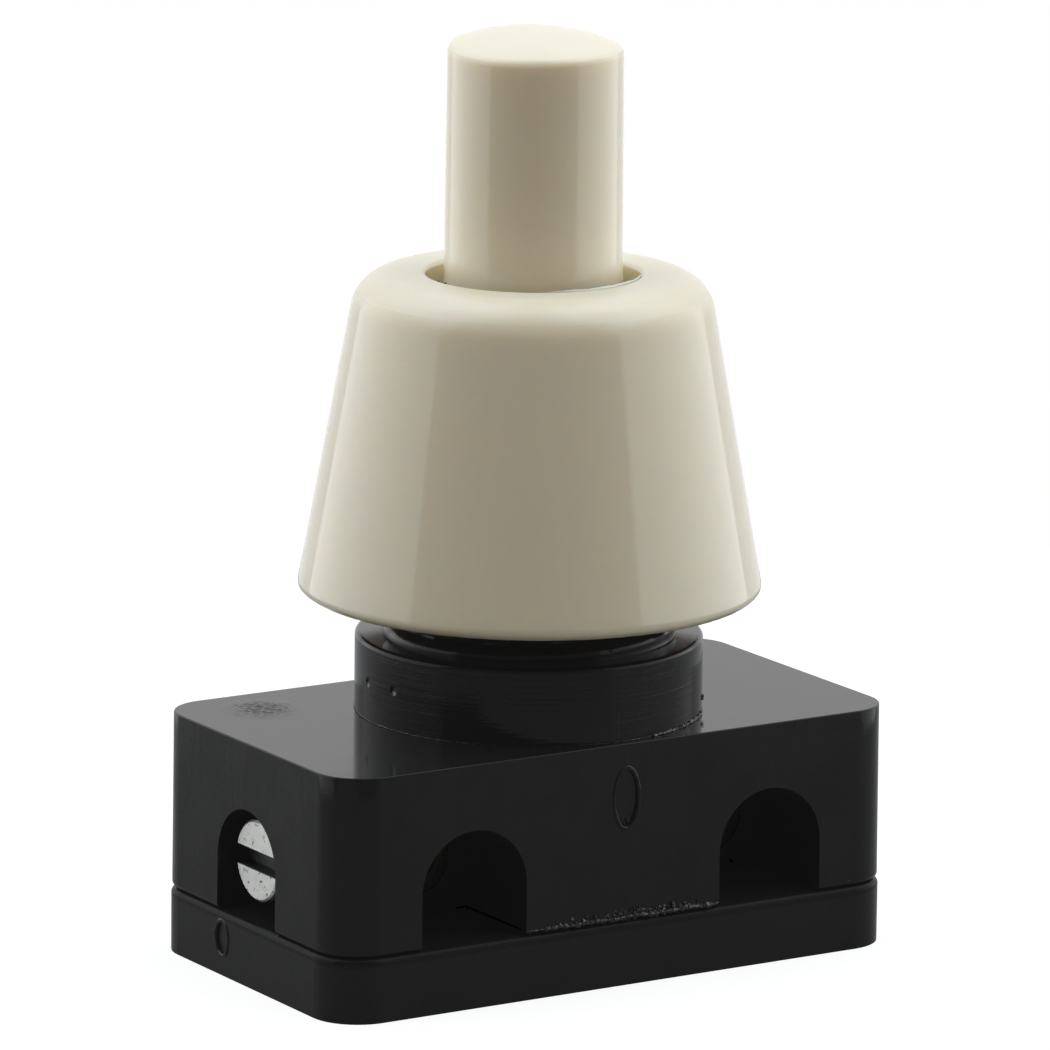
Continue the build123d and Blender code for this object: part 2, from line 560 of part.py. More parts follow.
def make_terminal_screw(side):
    head = bar_x(SCREW_HEAD_RADIUS, SCREW_SEAT_X, SCREW_FACE_X, SCREW_Z)
    head = chamfer(head.edges().sort_by(Axis.X)[-1], SCREW_HEAD_CHAMFER)
    half = SCREW_SLOT_WIDTH / 2
    head -= slab(SCREW_FACE_X - SCREW_SLOT_DEPTH, SCREW_FACE_X, -SCREW_HEAD_RADIUS,
                 SCREW_HEAD_RADIUS, SCREW_Z - half, SCREW_Z + half)
    return on_side(head + bar_x(SCREW_SHANK_RADIUS, SCREW_TIP_X, SCREW_SEAT_X, SCREW_Z), side)


PIECES = {
    "base_cover": make_base_cover,
    "upper_housing": make_upper_housing,
    "guide_bush": make_guide_bush,
    "bezel_nut": make_bezel_nut,
    "push_button": make_push_button,
    "drive_plunger": make_drive_plunger,
    "return_spring": make_return_spring,
    "ratchet_rotor": make_ratchet_rotor,
    "rotor_spring": make_rotor_spring,
    "pivot_pin": make_pivot_pin,
    "contact_bridge": make_contact_bridge,
}
PAIRS = {
    "bridge_contact": (make_bridge_contact, {"front": -1, "back": 1}),
    "leaf_contact": (make_leaf_contact, {"left": -1, "right": 1}),
    "contact_leaf": (make_contact_leaf, {"left": -1, "right": 1}),
    "leaf_rivet": (make_leaf_rivet, {"left": -1, "right": 1}),
    "terminal_block": (make_terminal_block, {"left": -1, "right": 1}),
    "terminal_screw": (make_terminal_screw, {"left": -1, "right": 1}),
}

os.makedirs("parts", exist_ok=True)
for name, make in PIECES.items():
    export_step(make(), f"parts/{name}.step")
for name, (make, sides) in PAIRS.items():
    for word, side in sides.items():
        export_step(make(side), f"parts/{name}_{word}.step")
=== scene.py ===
# A panel mount push switch: black moulded body with a threaded neck, ivory bezel nut and button.
# Lengths are in metres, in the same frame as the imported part: +Z is up along the button and
# the wire entries face -Y.

import random
from math import atan2, ceil, cos, hypot, pi, radians, sin, sqrt, tan

import bmesh
import bpy
from mathutils import Euler, Matrix, Vector, noise
from mathutils.bvhtree import BVHTree


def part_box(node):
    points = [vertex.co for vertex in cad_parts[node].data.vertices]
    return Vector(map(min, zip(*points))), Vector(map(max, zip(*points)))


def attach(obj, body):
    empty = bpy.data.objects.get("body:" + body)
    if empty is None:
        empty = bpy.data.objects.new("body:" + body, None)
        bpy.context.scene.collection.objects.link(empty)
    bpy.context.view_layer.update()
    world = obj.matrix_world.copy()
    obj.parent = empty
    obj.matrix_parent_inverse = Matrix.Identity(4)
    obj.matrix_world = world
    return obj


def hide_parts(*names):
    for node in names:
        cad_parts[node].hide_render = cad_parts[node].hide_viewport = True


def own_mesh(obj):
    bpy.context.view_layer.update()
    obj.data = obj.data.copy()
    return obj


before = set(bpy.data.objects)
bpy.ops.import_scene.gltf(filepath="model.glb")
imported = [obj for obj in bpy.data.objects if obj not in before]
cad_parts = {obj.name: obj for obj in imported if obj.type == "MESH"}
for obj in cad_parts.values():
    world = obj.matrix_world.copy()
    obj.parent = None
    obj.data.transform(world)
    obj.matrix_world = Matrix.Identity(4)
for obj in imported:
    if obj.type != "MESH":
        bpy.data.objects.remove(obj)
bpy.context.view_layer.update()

MM = 0.001
SEED = 7

# Camera, fitted to the photograph. Its elevation is in degrees, like those of the softboxes, and
# CAMERA_SIDE is the way from the part to it, as an angle from +X.
CAMERA_AZIMUTH = radians(-32.14)
CAMERA_ELEVATION = 12.4
CAMERA_ROLL = radians(0.694)
CAMERA_DISTANCE = 385.7 * MM
CAMERA_AIM_Z = 20 * MM
CAMERA_AIM_RIGHT = -0.24 * MM
CAMERA_AIM_UP = -0.184 * MM
CAMERA_LENS = 288.88
CAMERA_SENSOR = 36
CAMERA_SIDE = CAMERA_AZIMUTH - pi / 2

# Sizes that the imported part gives
BUTTON_LOW, BUTTON_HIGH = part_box("push_button")
BEZEL_LOW, BEZEL_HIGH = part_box("bezel_nut")
HOUSING_LOW, HOUSING_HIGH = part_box("upper_housing")
BASE_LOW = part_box("base_cover")[0]
BUTTON_FOOT_Z = BUTTON_LOW.z
BUTTON_CROWN_Z = BUTTON_HIGH.z
BUTTON_FOOT_RADIUS = BUTTON_HIGH.x
BEZEL_BOTTOM_Z = BEZEL_LOW.z
BEZEL_TOP_Z = BEZEL_HIGH.z
NECK_TOP_Z = HOUSING_HIGH.z
SEAM_Z = HOUSING_LOW.z
FRONT_Y = HOUSING_LOW.y

# Button, whose crown leans to the left and back, with a slight twist
BUTTON_RADIUS = 4.0 * MM
BUTTON_DOME = 0.83 * MM
BUTTON_ROUND = 0.45 * MM
BUTTON_BORE_RADIUS = 2.9 * MM
BUTTON_BORE_TOP_Z = 40.48 * MM
BUTTON_LEAN = 0.009
BUTTON_LEAN_BACK = 0.03
BUTTON_TWIST = 0.0073 / MM
BUTTON_SINK = 0.06 * MM

# Bezel nut
BEZEL_BOTTOM_RADIUS = 10.73 * MM
BEZEL_TOP_RADIUS = 8.02 * MM
BEZEL_TOP_ROUND = 1.95 * MM
BEZEL_BOTTOM_ROUND = 0.55 * MM
BEZEL_HOLE_RADIUS = 4.9 * MM
BEZEL_HOLE_ROUND = 0.2 * MM
BEZEL_CEILING_Z = 30.0 * MM
BEZEL_THREAD_FOOT_Z = 22.0 * MM
BEZEL_THREAD_RADIUS = 6.83 * MM
BEZEL_SKIRT_WALL = 1.4 * MM
BEZEL_RIM_HEIGHT = 0.35 * MM
BEZEL_RIM_RAG = 0.08 * MM
BEZEL_RIM_DRAW = 0.19 * MM
BEZEL_RIM_UNEVEN = 0.35
BEZEL_STEP = 0.2 * MM

# Housing top, whose edge is sharper to the eye than on the CAD solid
HOUSING_TOP_Z = 11.3 * MM
HOUSING_DRAFT = radians(0.4)
HOUSING_CORNER = 2.21 * MM
TOP_DRAW = tan(HOUSING_DRAFT) * (HOUSING_TOP_Z - SEAM_Z)
TOP_HALF_LENGTH = HOUSING_HIGH.x - TOP_DRAW
TOP_HALF_DEPTH = HOUSING_HIGH.y - TOP_DRAW
TOP_CORNER = HOUSING_CORNER - TOP_DRAW
TOP_ROUND = 0.3 * MM
TOP_ROUND_SEEN = 0.06 * MM
TOP_SLACK = 0.01 * MM

# Collar, neck and thread
COLLAR_RADIUS = 8.0 * MM
COLLAR_TOP_Z = 14.9 * MM
COLLAR_ROUND = 0.2 * MM
COLLAR_SINK = 0.3 * MM
NECK_RADIUS = 6.75 * MM
NECK_CORE_RADIUS = 6.1 * MM
NECK_BORE_RADIUS = 4.6 * MM
NECK_CHAMFER = 0.6 * MM
THREAD_PITCH = 1.25 * MM
THREAD_DEPTH = 0.4 * MM
THREAD_START_Z = 15.5 * MM
THREAD_FLAT = 1.2
THREAD_STEP = 0.1 * MM
NECK_TUCK = 0.02 * MM

# Beads and crumbs of flash
BEAD_SIDES = 8
BEAD_STEP = 0.08 * MM
BEAD_ROUGHNESS = 0.35
CRUMB_UNEVEN = (0.5, 1.2)

# Flash along the front of the seam, and loose crumbs by their x, z and size in mm
SEAM_FLASH_X = (-5.78 * MM, 5.2 * MM)
SEAM_FLASH_Z = SEAM_Z + 0.2 * MM
SEAM_FLASH_THICK = 0.11 * MM
SEAM_FLASH_THIN = 0.05 * MM
SEAM_FLASH_WANDER = 0.06 * MM
SEAM_CRUMBS = 170
SEAM_CRUMBS_X = (-4.2 * MM, 5.0 * MM)
SEAM_CRUMB_RISE = 0.5 * MM
SEAM_CRUMB_SIZE = (0.07 * MM, 0.18 * MM)
LOOSE_CRUMBS = ((-10.2, 3.57, 0.12), (-5.05, 3.1, 0.16), (5.5, 3.33, 0.14),
                (9.2, 3.5, 0.13), (12.3, 3.3, 0.07))
LOOSE_GROUP = 4

# Flash round the collar's foot, crumbs on the collar's side, and the mould's parting lines
FOOT_BURR_ANGLES = (radians(-77), radians(-40))
FOOT_BURR_THICK = 0.07 * MM
FOOT_BURR_THIN = 0.016 * MM
FOOT_BURR_OUT = 0.01 * MM
FOOT_BURR_RISE = 0.04 * MM
FOOT_CRUMBS = 40
FOOT_CRUMB_RISE = (0.02 * MM, 0.14 * MM)
FOOT_CRUMB_SIZE = (0.03 * MM, 0.08 * MM)
SIDE_CRUMBS = 6
SIDE_CRUMB_ANGLES = (radians(-37), radians(-34))
SIDE_CRUMB_RISE = (0.6 * MM, 0.75 * MM)
SIDE_CRUMB_SIZE = (0.08 * MM, 0.14 * MM)
COLLAR_CRUMB_OUT = 0.03 * MM
PARTING_ANGLE = radians(-91.4)
PARTING_HEIGHT = 1.6 * MM
PARTING_RADIUS = 0.012 * MM
PARTING_STEPS = 10

# Gate marks, each by its middle, then its half width and half height
GATE_RIM = 0.12 * MM
GATE_RIM_SINK = 0.06 * MM
HOUSING_GATE = (0.12 * MM, 8.75 * MM)
HOUSING_GATE_REACH = (0.68 * MM, 1.42 * MM)
BASE_GATE = (2.1 * MM, 1.75 * MM)
BASE_GATE_REACH = (0.58 * MM, 0.83 * MM)

# Burrs on the wire holes and on the nut's hole, and dust beside the latter
WIRE_HOLE_X = 7.94 * MM
WIRE_HOLE_Z = 5.78 * MM
WIRE_HOLE_RADIUS = 1.68 * MM
WIRE_HOLE_BURR = 0.03 * MM
HOLE_BURR_ANGLES = (radians(-114), radians(-37))
HOLE_BURR_RADIUS = 0.08 * MM
HOLE_BURR_LIFT = 0.04 * MM
DUST_SPECKS = 7
DUST_ANGLE = radians(-178)
DUST_SPREAD = 0.09
DUST_SIZE = (0.03 * MM, 0.06 * MM)

# Marks that the finishes draw: pits in the collar by angle and height, and a scuff on the top
PITS = ((radians(171.9), 13.11 * MM), (radians(-172.2), 13.16 * MM))
PIT_RADIUS = 0.24 * MM
PIT_DEPTH = 0.15 * MM
SCUFF_X = -11 * MM
SCUFF_Y = 5.5 * MM
SCUFF_REACH = 0.6 * MM
SCUFF_SOFT = 1.4 * MM
SCUFF_DEPTH = 0.05 * MM
SCUFF_GREY = 0.03
# Where each screw head's bright face starts; inwards of it the screws are painted dark as shade
SCREW_FACE_X = 14.3 * MM
SCREW_FACE_SOFT = 0.02 * MM

# Finishes: a dark and a light tone each, and what they share
IVORY_TONES = ((0.820, 0.757, 0.592), (0.840, 0.777, 0.612))
IVORY_TOP_ROUGHNESS = 0.32
BLACK_TONES = ((0.0060, 0.0061, 0.0063), (0.0095, 0.0095, 0.0097))
# Strength of a faint painted glow on the black plastics, which lifts their shadows
BLACK_PAINTED_GLOW = 0.004
SHINE = 0.5
WORN_SHINE = 0.15
BASE_EDGE_Z = (SEAM_Z - 0.5 * MM, SEAM_Z - 0.2 * MM)
NOISE_LOW = 0.3
NOISE_HIGH = 0.7

# Bare metals: light tone, dark tone, roughness from and to, and grain
METALS = {
    "spring_steel": ((0.45, 0.45, 0.46), (0.30, 0.30, 0.31), 0.25, 0.40, 0.3 * MM),
    "brass": ((0.72, 0.53, 0.25), (0.55, 0.38, 0.16), 0.28, 0.45, 0.4 * MM),
    "bronze": ((0.62, 0.40, 0.24), (0.50, 0.31, 0.18), 0.25, 0.40, 0.4 * MM),
    "silver": ((0.80, 0.79, 0.76), (0.60, 0.59, 0.57), 0.20, 0.35, 0.2 * MM),
}

# Softboxes: degrees to the camera's right and up, distance, width, height, watts and tint
SIDE_TINT = (0.955, 0.99, 1.0)
HIGH_TINT = (0.76, 0.86, 1.0)
BACK_TINT = (0.80, 0.86, 1.0)
SOFTBOXES = {
    "softbox_left": (-100, 8, 0.45, 0.75, 0.76, 1.70, SIDE_TINT),
    "softbox_right": (96.5, 8, 0.45, 0.75, 0.76, 1.80, SIDE_TINT),
    "softbox_high_left": (-90, 60, 0.50, 0.45, 0.45, 1.35, HIGH_TINT),
    "softbox_high_right": (90, 60, 0.50, 0.45, 0.45, 1.44, HIGH_TINT),
    "softbox_back": (180, 62, 0.50, 0.60, 0.45, 0.66, BACK_TINT),
}

# Studio and floor
AMBIENT_TINT = (1.0, 0.72, 0.38)
AMBIENT_STRENGTH = 0.165
STUDIO_NEAR = -0.3
STUDIO_FAR = 0.5
STUDIO_NEAR_LEVEL = 0.20
STUDIO_FAR_LEVEL = 1.0
FLOOR_RADIUS = 90 * MM
FLOOR_STEPS = 96
FLOOR_GREY = 0.2
FLOOR_SEEN = 0.86
FLOOR_MIRRORED = 0.2

# Fineness of the meshes
ROUND_STEPS = 256
NECK_STEPS = 384
PROFILE_STEP = 0.25 * MM
ARC_TURN = radians(9)
SHOULDER_TURN = radians(6)
DOME_TURN = radians(1.0)
MESH_WELD = 0.0002 * MM
MESH_SHARP = radians(30)
COPY_WELD = 0.0005 * MM
COPY_FLAT = radians(0.05)
COPY_SHARP = radians(25)


# Meshes

def add_mesh(name, vertices, faces, body, material, smooth=True):
    """A piece made of its points and faces, which rides a body."""
    mesh = bpy.data.meshes.new(name)
    mesh.from_pydata(vertices, [], faces)
    mesh.validate()
    for face in mesh.polygons:
        face.use_smooth = smooth
    piece = bpy.data.objects.new(name, mesh)
    bpy.context.collection.objects.link(piece)
    mesh.materials.append(material)
    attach(piece, body)
    return piece


def outline(corners, step):
    """A closed profile of (r, z) points through corners (r, z, round), about step apart."""
    bare = []
    for i, (r, z, radius) in enumerate(corners):
        here = Vector((r, z))
        if not radius:
            bare.append(here)
            continue
        to_last = (Vector(corners[i - 1][:2]) - here).normalized()
        to_next = (Vector(corners[(i + 1) % len(corners)][:2]) - here).normalized()
        half = to_last.angle(to_next) / 2
        centre = here + (to_last + to_next).normalized() * radius / sin(half)
        reach = radius / tan(half)
        start = here + to_last * reach - centre
        end = here + to_next * reach - centre
        turns = max(3, ceil((pi - 2 * half) / ARC_TURN))
        for k in range(turns + 1):
            share = k / turns
            arm = start.lerp(end, share).normalized()
            bare.append(centre + arm * radius)
    points = []
    for here, after in zip(bare, bare[1:] + bare[:1]):
        parts = max(1, ceil((after - here).length / step))
        points += [here.lerp(after, k / parts) for k in range(parts)]
    return [(p.x, p.y) for p in points]


def spread(start, end, step):
    """Points on the line from start up to, and without, end, about step apart."""
    start, end = Vector(start), Vector(end)
    parts = max(1, ceil((end - start).length / step))
    return [tuple(start.lerp(end, k / parts)) for k in range(parts)]


def face_outwards(mesh):
    """Join the points that meet, and turn every face outwards."""
    work = bmesh.new()
    work.from_mesh(mesh)
    bmesh.ops.remove_doubles(work, verts=work.verts, dist=MESH_WELD)
    bmesh.ops.recalc_face_normals(work, faces=work.faces)
    work.to_mesh(mesh)
    work.free()


def lathe(name, profile, body, material, move=None, segments=ROUND_STEPS):
    """A closed profile of (r, z) points turned round Z, where move(angle, r, z) may shift each."""
    vertices = []
    for s in range(segments):
        angle = 2 * pi * s / segments
        for r, z in profile:
            if move:
                r, z = move(angle, r, z)
            vertices.append((r * cos(angle), r * sin(angle), z))
    count = len(profile)
    faces = []
    for s in range(segments):
        low, high = s * count, (s + 1) % segments * count
        for i in range(count):
            j = (i + 1) % count
            faces.append((low + i, high + i, high + j, low + j))
    piece = add_mesh(name, vertices, faces, body, material)
    face_outwards(piece.data)
    piece.data.set_sharp_from_angle(angle=MESH_SHARP)
    return piece


def weld_copy(node, name, move):
    """A copy of a CAD node's mesh with its points moved and joined, shaded by its face angles."""
    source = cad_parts[node].data
    work = bmesh.new()
    for vertex in source.vertices:
        work.verts.new(move(vertex.co))
    work.verts.ensure_lookup_table()
    for face in source.polygons:
        work.faces.new([work.verts[i] for i in face.vertices])
    bmesh.ops.remove_doubles(work, verts=work.verts, dist=COPY_WELD)
    bmesh.ops.dissolve_degenerate(work, edges=work.edges, dist=COPY_WELD)
    bmesh.ops.recalc_face_normals(work, faces=work.faces)
    bmesh.ops.dissolve_limit(work, angle_limit=COPY_FLAT, verts=work.verts, edges=work.edges)
    mesh = bpy.data.meshes.new(name)
    work.to_mesh(mesh)
    work.free()
    for face in mesh.polygons:
        face.use_smooth = True
    mesh.set_sharp_from_angle(angle=COPY_SHARP)
    piece = bpy.data.objects.new(name, mesh)
    bpy.context.collection.objects.link(piece)
    weights = piece.modifiers.new("weighted", "WEIGHTED_NORMAL")
    weights.keep_sharp = True
    weights.weight = 100
    return piece


def ragged(angle, size, seed):
    """Repeatable noise from about -1 to 1 round a circle, in lumps about size radians across."""
    return noise.noise(Vector((cos(angle) / size, sin(angle) / size, seed)))


# Search trees of CAD nodes, each built when it is first asked for
SURFACES = {}


def on_surface(node, start, towards):
    """Where a line from start first meets a CAD node."""
    if node not in SURFACES:
        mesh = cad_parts[node].data
        SURFACES[node] = BVHTree.FromPolygons([v.co for v in mesh.vertices],
                                              [face.vertices for face in mesh.polygons])
    return SURFACES[node].ray_cast(Vector(start), Vector(towards))[0]


def on_front(x, z):
    """The front face's point at x and z, above or below the seam."""
    node = "upper_housing" if z > SEAM_Z else "base_cover"
    return on_surface(node, (x, 2 * FRONT_Y, z), (0, 1, 0))


def on_left_end(y, z):
    """The point at y and z on the left end of the base."""
    return on_surface("base_cover", (2 * BASE_LOW.x, y, z), (1, 0, 0))


def on_ring(radius, angle, z):
    return Vector((radius * cos(angle), radius * sin(angle), z))


class Flash:
    """Ragged beads and crumbs of plastic, gathered into one piece."""

    def __init__(self):
        self.vertices = []
        self.faces = []

    def bead(self, line, radii, up, closed=False, rough=BEAD_ROUGHNESS):
        """A rough rod along a line of points, with a radius for each."""
        count = len(line)
        first = len(self.vertices)
        for i, (here, radius) in enumerate(zip(line, radii)):
            after = line[(i + 1) % count if closed else min(i + 1, count - 1)]
            before = line[i - 1 if closed else max(i - 1, 0)]
            ahead = (after - before).normalized()
            side = ahead.cross(Vector(up)).normalized()
            rise = side.cross(ahead)
            for k in range(BEAD_SIDES):
                turn = 2 * pi * k / BEAD_SIDES
                size = radius * random.uniform(1 - rough, 1 + rough)
                self.vertices.append(here + (side * cos(turn) + rise * sin(turn)) * size)
        for i in range(count if closed else count - 1):
            low, high = first + i * BEAD_SIDES, first + (i + 1) % count * BEAD_SIDES
            for k in range(BEAD_SIDES):
                j = (k + 1) % BEAD_SIDES
                self.faces.append((low + k, low + j, high + j, high + k))
        if not closed:
            last = first + (count - 1) * BEAD_SIDES
            self.faces.append(tuple(range(first, first + BEAD_SIDES)))
            self.faces.append(tuple(range(last, last + BEAD_SIDES)))

    def crumb(self, place, size):
        """A small angular lump."""
        first = len(self.vertices)
        turn = Euler([random.uniform(0, 2 * pi) for _ in range(3)])
        for axis in range(3):
            for sign in (-1, 1):
                corner = Vector((0, 0, 0))
                corner[axis] = sign * size * random.uniform(*CRUMB_UNEVEN)
                corner.rotate(turn)
                self.vertices.append(place + corner)
        for x in (0, 1):
            for y in (2, 3):
                for z in (4, 5):
                    self.faces.append((first + x, first + y, first + z))

    def piece(self, name, body, material, slot, smooth=False):
        piece = add_mesh(name, self.vertices, self.faces, body, material, smooth)
        face_outwards(piece.data)
        return piece


# Materials

class Tree:
    """A node tree, with short calls for the nodes that the finishes and the stage share."""

    def __init__(self, tree):
        self.tree = tree

    def add(self, kind, inputs=(), **settings):
        node = self.tree.nodes.new(kind)
        for name, value in settings.items():
            setattr(node, name, value)
        for socket, value in inputs:
            if hasattr(value, "is_output"):
                self.tree.links.new(value, node.inputs[socket])
            else:
                node.inputs[socket].default_value = value
        return node

    def remap(self, value, low, high, to_low, to_high):
        node = self.add("ShaderNodeMapRange", (("Value", value), ("From Min", low),
                                               ("From Max", high), ("To Min", to_low),
                                               ("To Max", to_high)))
        return node.outputs["Result"]

    def math(self, operation, a, b):
        return self.add("ShaderNodeMath", ((0, a), (1, b)), operation=operation).outputs[0]

    def show(self, shader, output):
        self.tree.links.new(shader.outputs[0], self.tree.nodes[output].inputs["Surface"])


class Shader(Tree):
    """One node material, with short calls for the patterns that the finishes share."""

    def __init__(self, name):
        self.material = bpy.data.materials.new(name)
        self.material.use_nodes = True
        super().__init__(self.material.node_tree)
        self.surface = self.tree.nodes["Principled BSDF"]
        self.place = self.add("ShaderNodeTexCoord").outputs["Object"]

    def set(self, **values):
        for name, value in values.items():
            self.surface.inputs[name.replace("_", " ")].default_value = value

    def link(self, value, socket):
        self.tree.links.new(value, self.surface.inputs[socket])

    def stretched(self, scale):
        """The place, scaled along X, Y and Z."""
        node = self.add("ShaderNodeVectorMath", ((0, self.place), (1, scale)), operation="MULTIPLY")
        return node.outputs[0]

    def noise(self, size, detail=3.0, place=None):
        """Noise with features about size metres across."""
        node = self.add("ShaderNodeTexNoise", (("Vector", place or self.place),
                                               ("Scale", 1 / size), ("Detail", detail)))
        return node.outputs["Fac"]

    def vary(self, size, low, high):
        """A value that wanders between low and high, in patches about size metres across."""
        return self.remap(self.noise(size), NOISE_LOW, NOISE_HIGH, low, high)

    def near(self, place, reach, soft):
        """1 within reach of a place, falling to 0 over soft."""
        gap = self.add("ShaderNodeVectorMath", ((0, self.place), (1, place)), operation="DISTANCE")
        return self.remap(gap.outputs["Value"], reach, reach + soft, 1.0, 0.0)

    def split(self, vector):
        return self.add("ShaderNodeSeparateXYZ", ((0, vector),)).outputs

    def facing(self):
        """X, Y and Z of the way that the surface faces."""
        return self.split(self.add("ShaderNodeNewGeometry").outputs["Normal"])

    def mix(self, factor, a, b):
        """From colour a to colour b."""
        node = self.add("ShaderNodeMix", (("Factor", factor), (6, a), (7, b)), data_type="RGBA")
        return node.outputs[2]

    def blend(self, factor, a, b):
        """From value a to value b."""
        return self.add("ShaderNodeMix", (("Factor", factor), (2, a), (3, b))).outputs[0]

    def bump(self, height, distance, strength=1.0, after=None):
        inputs = [("Height", height), ("Distance", distance), ("Strength", strength)]
        if after:
            inputs.append(("Normal", after))
        return self.add("ShaderNodeBump", inputs).outputs["Normal"]


def colour(red, green, blue):
    return (red, green, blue, 1.0)


def grey(level):
    return colour(level, level, level)


def ivory_plastic(name="ivory_plastic", shade=0.95, depth=1.2 * MM, rough=(0.06, 0.10)):
    """Glossy moulded ivory, duller on its crown and shoulders, where it has been handled."""
    s = Shader(name)
    s.set(IOR=1.55, Subsurface_Weight=0.7, Subsurface_Scale=depth,
          Subsurface_Radius=(1.0, 0.7, 0.4))
    dark, light = [colour(*(shade * part for part in tone)) for tone in IVORY_TONES]
    s.link(s.mix(s.noise(3.5 * MM, 2.0), dark, light), "Base Color")
    side = s.vary(1.2 * MM, *rough)
    top = s.remap(s.facing()["Z"], 0.25, 0.6, 0.0, 1.0)
    s.link(s.blend(top, side, IVORY_TOP_ROUGHNESS), "Roughness")
    s.link(s.bump(s.noise(1.6 * MM, 1.0), 0.003 * MM), "Normal")
    return s.material


def scuff_mark(s):
    """How scuffed a place is: a broken patch near the left end of the housing's top."""
    patch = s.near((SCUFF_X, SCUFF_Y, HOUSING_TOP_Z), SCUFF_REACH, SCUFF_SOFT)
    return s.math("MULTIPLY", patch, s.remap(s.noise(0.25 * MM, 4.0), 0.42, 0.62, 0.35, 1.0))


def black_roughness(s, facing, top, scuff, side_rough, turned):
    """Streaked on the ends, glossier on the rounded corners, and smooth on the top."""
    diagonal = s.math("ABSOLUTE", s.math("MULTIPLY", facing["X"], facing["Y"]), 0.0)
    corner = s.remap(diagonal, 0.1, 0.4, 1.0, 0.6)
    side = s.vary(2.5 * MM, *side_rough)
    if not turned:
        end = s.remap(s.math("ABSOLUTE", facing["X"], 0.0), 0.9, 0.98, 0.0, 1.0)
        drawn = s.noise(0.35 * MM, 3.0, s.stretched((1.0, 1.0, 0.06)))
        streaks = s.remap(drawn, 0.35, 0.65, -0.025, 0.025)
        side = s.math("ADD", side, s.math("MULTIPLY", end, streaks))
    smooth = s.remap(s.noise(1.2 * MM, 4.0), 0.3, 0.75, 0.08, 0.15)
    smooth = s.math("ADD", smooth, s.math("MULTIPLY", scuff, 0.3))
    return s.blend(top, s.math("MULTIPLY", side, corner), smooth)


def turned_marks(s, normal, top):
    """Rings round the collar's side, circles on its top ring, and two small pits."""
    rings = s.noise(0.17 * MM, 2.0, s.stretched((0.02, 0.02, 1.0)))
    normal = s.bump(rings, 0.014 * MM, 0.8, normal)
    flat = s.stretched((1.0, 1.0, 0.0))
    reach = s.add("ShaderNodeVectorMath", ((0, flat),), operation="LENGTH").outputs["Value"]
    radial = s.add("ShaderNodeCombineXYZ", ((0, reach),)).outputs[0]
    circles = s.noise(0.09 * MM, 3.0, radial)
    normal = s.bump(s.math("MULTIPLY", circles, top), 0.012 * MM, 0.8, normal)
    for angle, z in PITS:
        hollow = s.near(on_ring(COLLAR_RADIUS, angle, z), 0.0, PIT_RADIUS)
        normal = s.bump(hollow, -PIT_DEPTH, 1.0, normal)
    return normal


def black_plastic(name="black_plastic", side_rough=(0.20, 0.34), grain=0.014 * MM, turned=False):
    """Moulded black: grained upright faces with drawn streaks, and a smooth, scuffed top.

    A very faint glow, which is painted light, lifts its shadows as a haze would."""
    s = Shader(name)
    s.set(IOR=1.27, Emission_Color=grey(1), Emission_Strength=BLACK_PAINTED_GLOW)
    facing = s.facing()
    top = s.remap(facing["Z"], 0.8, 0.95, 0.0, 1.0)
    scuff = scuff_mark(s)
    dark, light = [colour(*tone) for tone in BLACK_TONES]
    tone = s.mix(s.noise(0.8 * MM), dark, light)
    s.link(s.mix(scuff, tone, grey(SCUFF_GREY)), "Base Color")
    s.link(black_roughness(s, facing, top, scuff, side_rough, turned), "Roughness")
    fine = s.math("MULTIPLY", s.noise(0.16 * MM, 4.0), s.remap(top, 0.0, 1.0, 1.0, 0.15))
    normal = s.bump(fine, grain, 0.5)
    if name == "black_plastic":
        torn = s.math("MULTIPLY", s.noise(0.3 * MM, 4.0), scuff)
        normal = s.bump(torn, SCUFF_DEPTH, 1.0, normal)
    if turned:
        normal = turned_marks(s, normal, top)
    s.link(normal, "Normal")
    if name == "base_black":
        edge = s.remap(s.split(s.place)["Z"], *BASE_EDGE_Z, SHINE, WORN_SHINE)
        s.link(edge, "Specular IOR Level")
    elif not turned:
        s.link(s.remap(scuff, 0.0, 1.0, SHINE, WORN_SHINE), "Specular IOR Level")
    return s.material


def torn_plastic():
    """Black flash and crumbs, paler than the moulded skin."""
    s = Shader("torn_plastic")
    s.link(s.mix(s.noise(0.12 * MM), grey(0.007), grey(0.035)), "Base Color")
    s.link(s.vary(0.1 * MM, 0.25, 0.5), "Roughness")
    return s.material


def nylon():
    """Milky natural nylon."""
    s = Shader("natural_nylon")
    s.set(Base_Color=colour(0.72, 0.70, 0.64), Subsurface_Weight=0.15, Subsurface_Scale=0.5 * MM)
    s.link(s.vary(0.8 * MM, 0.35, 0.5), "Roughness")
    return s.material


def metal(name, light, dark, rough_low, rough_high, grain):
    """A bare metal with a worn, slightly mottled surface."""
    s = Shader(name)
    s.set(Metallic=1.0)
    s.link(s.mix(s.noise(grain * 4), colour(*dark), colour(*light)), "Base Color")
    s.link(s.vary(grain, rough_low, rough_high), "Roughness")
    s.link(s.bump(s.noise(grain, 4.0), 0.006 * MM, 0.6), "Normal")
    return s.material


